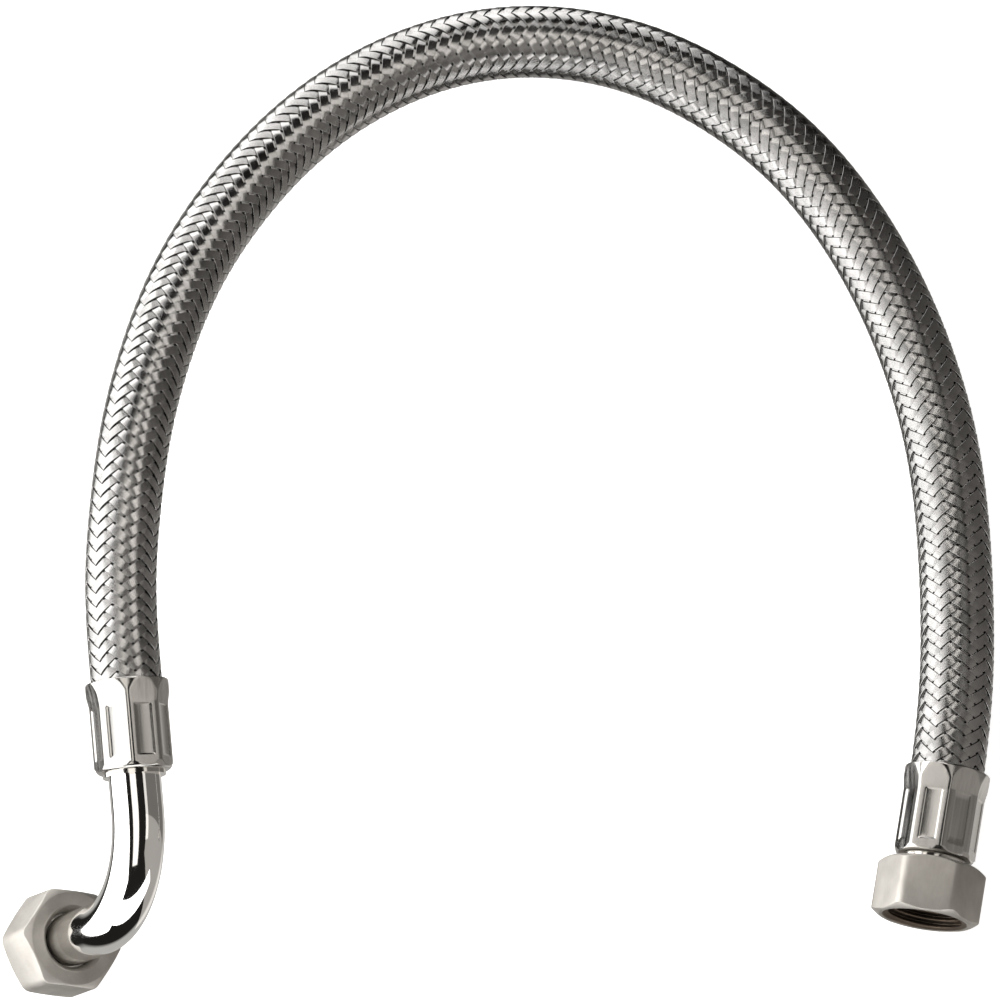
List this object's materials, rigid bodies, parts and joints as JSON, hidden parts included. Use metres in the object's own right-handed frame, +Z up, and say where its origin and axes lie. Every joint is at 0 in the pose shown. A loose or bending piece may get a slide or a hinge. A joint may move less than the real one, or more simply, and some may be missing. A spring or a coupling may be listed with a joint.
{
  "type": "braided supply line",
  "caption": "Flexible water hose with a steel braid, a bent chrome pipe on one end, a straight fitting on the other and a loose hexagon union nut on each end.",
  "frame": {"origin": "on the surface that the line lies on, midway between the two end fittings: the bottom centre of the fittings' box, without the hose", "axes": "+Z up from the surface, +X from the elbow end to the straight end, +Y towards the top of the hose's arch"},
  "size_m": [0.2448, 0.2497, 0.067],
  "materials": {
    "braid_steel": "bright stainless wire",
    "liner_rubber": "matt black EPDM rubber",
    "ferrule_steel": "smooth pressed stainless steel",
    "tail_nickel": "nickel plate on turned brass",
    "pipe_chrome": "polished chrome plate",
    "gasket_rubber": "matt rubber",
    "nut_nickel": "satin nickel plate on brass"
  },
  "bodies": {
    "line": {"braid_sleeve": "braid_steel", "inner_liner": "liner_rubber", "elbow_ferrule": "ferrule_steel", "elbow_tail": "tail_nickel", "elbow_pipe": "pipe_chrome", "elbow_collar": "tail_nickel", "elbow_gasket": "gasket_rubber", "straight_ferrule": "ferrule_steel", "straight_tail": "tail_nickel", "straight_gasket": "gasket_rubber"},
    "elbow_nut_body": {"elbow_nut": "nut_nickel"},
    "straight_nut_body": {"straight_nut": "nut_nickel"}
  },
  "joints": [
    {"name": "elbow_nut_spin", "type": "hinge", "parent": "line", "child": "elbow_nut_body", "pos_m": [-0.10362, -0.02126, 0.01771], "axis": [-0.4577, 0.0223, -0.8888], "continuous": true},
    {"name": "straight_nut_spin", "type": "hinge", "parent": "line", "child": "straight_nut_body", "pos_m": [0.10776, -0.00161, 0.012], "axis": [-0.1564, -0.9877, 0], "continuous": true}
  ]
}
